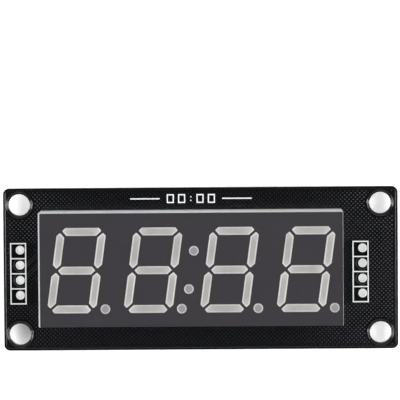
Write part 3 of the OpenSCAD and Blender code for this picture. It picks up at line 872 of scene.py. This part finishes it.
class MODULE_OT_inside(bpy.types.Operator):
    """Dresses the die board, the dies and the potting resin inside the display"""

    bl_idname = "module.inside"
    bl_label = "Inside Of The Display"

    def execute(self, context):
        laminate = cast_finish(
            "die_board_laminate", (0.62, 0.58, 0.40),
            roughness=0.5, size=0.2, depth=0.01, contrast=0.15,
        )
        crystal = cast_finish(
            "die_crystal", (0.80, 0.55, 0.18),
            roughness=0.25, size=0.05, depth=0.004, contrast=0.2,
        )
        potting = cast_finish(
            "potting_resin", (0.60, 0.57, 0.50),
            roughness=0.2, size=0.8, depth=0.02, contrast=0.1,
        )
        dress(laminate, "die_board")
        dress(crystal, "led_dies")
        dress(potting, "potting_resin")
        return {"FINISHED"}


class MODULE_OT_pins(bpy.types.Operator):
    """Turns the display's pins and their hollow solder joints"""

    bl_idname = "module.pins"
    bl_label = "Pins And Solder"

    def execute(self, context):
        look = context.scene.module_parts
        low, high = (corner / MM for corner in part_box("display_pins"))
        joint_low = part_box("pin_solder")[0] / MM
        pitch = (high.x - low.x - 2 * PIN_R) / (PINS_IN_ROW - 1)
        places = [
            Vector((low.x + PIN_R + pitch * k, y, 0))
            for y in (low.y + PIN_R, high.y - PIN_R) for k in range(PINS_IN_ROW)
        ]
        axis = 0.001
        shaft = [
            (axis, high.z), (PIN_R, high.z), (PIN_R, low.z + 0.12), (PIN_R - 0.03, low.z + 0.05),
            (PIN_R - 0.09, low.z + 0.01), (axis, low.z),
        ]
        tin = metal_finish(
            "tinned_pins", look.tin, roughness=0.3, ripple=0.01, grain_size=0.08
        )
        pins = lathe("display_pins_tinned", shaft, places, sides=24)
        finished(pins, tin, "display_pins", slot="tinned_copper")
        # The solder reaches up into the hole, and below the board's back it draws in along the pin
        foot_r, neck, bore = low.x + PIN_R - joint_low.x, PIN_R + 0.004, PIN_R - 0.01
        brow, tip = -0.05, joint_low.z
        slope = [
            (foot_r - (foot_r - neck) * math.sin(t) ** 0.8, brow + (tip - brow) * (1 - math.cos(t)))
            for t in (math.pi / 2 * k / 9 for k in range(1, 10))
        ]
        joint = [
            (bore, 0.4), (foot_r - 0.2, 0.4), (foot_r - 0.2, 0.0), (foot_r, 0.0), (foot_r, -0.03),
            (foot_r - 0.02, brow), *slope, (bore, tip),
        ]
        solder = metal_finish(
            "solder_joints", look.solder, roughness=0.24, ripple=0.03, grain_size=0.2
        )
        joints = lathe("pin_solder_joints", joint, places, sides=32)
        finished(joints, solder, "pin_solder", slot="solder", smooth=50)
        return {"FINISHED"}


class MODULE_OT_chip(bpy.types.Operator):
    """Rounds the edges of the driver chip and of its leads, and dresses them"""

    bl_idname = "module.chip"
    bl_label = "Driver Chip"

    def execute(self, context):
        look = context.scene.module_parts
        epoxy = cast_finish(
            "chip_epoxy", look.epoxy, roughness=0.5, size=0.06, depth=0.012, contrast=0.5
        )
        tin = metal_finish(
            "tinned_leads", look.tin, roughness=0.34, ripple=0.01, grain_size=0.06
        )
        solder = metal_finish(
            "lead_solder", look.solder, roughness=0.3, ripple=0.02, grain_size=0.12
        )
        body = copy_of("chip_body", "chip_moulding")
        soften(body, width=0.05, segments=2, angle=30)
        finished(body, epoxy, "chip_body", slot="chip_epoxy")
        leads = copy_of("chip_leads", "chip_leads_formed")
        soften(leads, width=0.03, segments=2, angle=60)
        finished(leads, tin, "chip_leads", slot="tinned_copper", smooth=50)
        pads = copy_of("chip_solder", "chip_solder_fillets")
        soften(pads, width=0.02, segments=2, angle=20)
        finished(pads, solder, "chip_solder", slot="solder", smooth=60)
        return {"FINISHED"}


class MODULE_OT_small_parts(bpy.types.Operator):
    """Rounds and dresses the capacitors, the resistors and their solder"""

    bl_idname = "module.small_parts"
    bl_label = "Capacitors And Resistors"

    def execute(self, context):
        look = context.scene.module_parts
        tin = metal_finish(
            "tinned_ends", look.tin, roughness=0.4, ripple=0.02, grain_size=0.07
        )
        ceramic = cast_finish(
            "capacitor_ceramic", look.capacitor,
            roughness=0.6, size=0.05, depth=0.006, contrast=0.35,
        )
        film = cast_finish(
            "resistor_film", look.resistor, roughness=0.25, size=0.1, depth=0.003, contrast=0.4
        )
        solder = metal_finish(
            "end_solder", look.solder, roughness=0.26, ripple=0.03, grain_size=0.15
        )
        # Solids, the width in millimetres and the steps of their rounding, slot and material
        for node, width, segments, slot, material in (
            ("capacitor_bodies", 0.04, 2, "capacitor_ceramic", ceramic),
            ("resistor_bodies", 0.02, 1, "resistor_film", film),
            ("capacitor_ends", 0.08, 3, "tinned_copper", tin),
            ("resistor_ends", 0.05, 3, "tinned_copper", tin),
            ("small_part_solder", 0.03, 2, "solder", solder),
        ):
            piece = copy_of(node, f"{node}_rounded")
            soften(piece, width, segments, angle=20)
            finished(piece, material, node, slot=slot, smooth=60)
        return {"FINISHED"}


class MODULE_OT_stage(bpy.types.Operator):
    """Sets up the pale floor, the soft boxes and the camera"""

    bl_idname = "module.stage"
    bl_label = "Stage"

    def execute(self, context):
        look = context.scene.module_stage
        below = 0.02 * MM
        self.floor(look, CAD_BOX[0].z - below)
        self.lights(look)
        world = bpy.data.worlds.new("dim_room")
        world.use_nodes = True
        room = world.node_tree.nodes["Background"]
        room.inputs["Color"].default_value = (1, 1, 1, 1)
        room.inputs["Strength"].default_value = look.world
        context.scene.world = world
        context.scene.view_settings.view_transform = "Standard"
        bpy.ops.object.select_all(action="DESELECT")
        bpy.ops.object.camera_add(location=EYE_PLACE, rotation=EYE_TURN)
        camera = context.object
        camera.name = "photo_camera"
        camera.data.lens = look.lens
        camera.data.sensor_width = 36
        camera.data.clip_start = 0.01
        context.scene.camera = camera
        return {"FINISHED"}

    def floor(self, look, z):
        """A round white floor whose border sweeps up into a wall."""
        flat, sweep, wall = 0.95, 0.3, 0.5
        bpy.ops.object.select_all(action="DESELECT")
        bpy.ops.mesh.primitive_circle_add(
            vertices=96, radius=flat, fill_type="NGON", location=(0, 0, z)
        )
        floor = bpy.context.object
        floor.name = "stage_floor"
        bpy.ops.object.transform_apply(location=True)
        bpy.ops.object.mode_set(mode="EDIT")
        bpy.ops.mesh.select_mode(type="EDGE")
        bpy.ops.mesh.select_all(action="SELECT")
        bpy.ops.mesh.region_to_loop()
        reach, height = flat, 0.0
        for turn in (15, 30, 45, 60, 75, 90):
            out = flat + sweep * math.sin(math.radians(turn))
            up = sweep * (1 - math.cos(math.radians(turn)))
            bpy.ops.mesh.extrude_edges_move(
                TRANSFORM_OT_translate={"value": (0, 0, up - height)}
            )
            bpy.ops.transform.resize(value=(out / reach, out / reach, 1))
            reach, height = out, up
        bpy.ops.mesh.extrude_edges_move(TRANSFORM_OT_translate={"value": (0, 0, wall)})
        bpy.ops.object.mode_set(mode="OBJECT")
        white = (1.0, 1.0, 1.0)
        f = Finish("pale_floor", Roughness=0.8)
        here, x, y, _ = f.place()
        # The glow is even round the board and weaker toward the wall, and a painted shadow darkens
        # the floor's colour and glow under the near left corner of the board
        far = (x * x + y * y) ** 0.5
        painted_shade_x, painted_shade_y, painted_shade_r, painted_shade = -28.4, -9.2, 6.2, 0.62
        corner = ((x - painted_shade_x) ** 2 + (y - painted_shade_y) ** 2) ** 0.5
        dim = 1 - corner.step(painted_shade_r, 0.6) * painted_shade
        base = (f.noise(here, 40.0) * 0.02 + 0.97) * dim
        glow = f.tone(white, base * (far.step(900, 150) * 0.6 + 0.4))
        f.shader.inputs["Emission Strength"].default_value = look.floor_glow
        pale = f.tone(white, base)
        floor.data.materials.append(f.set(Base_Color=pale, Emission_Color=glow))

    def lights(self, look):
        """Four large soft boxes, one beyond each edge of the board."""
        for name, place, power, size in (
            ("left_soft_box", (-0.60, 0.04, 0.60), look.left_light, 0.24),
            ("right_soft_box", (0.46, 0.04, 0.60), look.right_light, 0.24),
            ("far_soft_box", (0.0, 0.62, 0.72), look.far_light, 1.0),
            ("near_soft_box", (0.0, -0.60, 0.72), look.near_light, 1.0),
        ):
            place = Vector(place)
            bpy.ops.object.light_add(type="AREA", location=place)
            light = bpy.context.object
            light.name = name
            light.data.shape, light.data.size = "SQUARE", size
            light.data.energy = power
            light.rotation_euler = place.to_track_quat("Z", "Y").to_euler()


class MODULE_PT_sidebar(bpy.types.Panel):
    """Lists the steps that dress the module, with the looks they use"""

    bl_idname = "MODULE_PT_sidebar"
    bl_label = "Display Module"
    bl_space_type = "VIEW_3D"
    bl_region_type = "UI"
    bl_category = "Display Module"

    def draw(self, context):
        for step in STEPS:
            self.layout.operator(step.bl_idname)
        for name in LOOKS:
            look = getattr(context.scene, name)
            box = self.layout.box()
            for key in look.__annotations__:
                box.prop(look, key)


LOOKS = {
    "module_board": BoardLook,
    "module_display": DisplayLook,
    "module_parts": PartsLook,
    "module_stage": StageLook,
}
STEPS = (
    MODULE_OT_stage,
    MODULE_OT_board,
    MODULE_OT_hole_rings,
    MODULE_OT_header_pads,
    MODULE_OT_display_body,
    MODULE_OT_segments,
    MODULE_OT_inside,
    MODULE_OT_pins,
    MODULE_OT_chip,
    MODULE_OT_small_parts,
)


def register():
    for look in LOOKS.values():
        bpy.utils.register_class(look)
    for name, look in LOOKS.items():
        setattr(bpy.types.Scene, name, bpy.props.PointerProperty(type=look))
    for step in STEPS:
        bpy.utils.register_class(step)
    bpy.utils.register_class(MODULE_PT_sidebar)


def unregister():
    bpy.utils.unregister_class(MODULE_PT_sidebar)
    for step in reversed(STEPS):
        bpy.utils.unregister_class(step)
    for name in LOOKS:
        delattr(bpy.types.Scene, name)
    for look in reversed(LOOKS.values()):
        bpy.utils.unregister_class(look)


def main():
    """Runs the steps in order, as the sidebar's buttons do."""
    register()
    for step in STEPS:
        group, name = step.bl_idname.split(".")
        getattr(getattr(bpy.ops, group), name)()


if __name__ == "__main__":
    main()
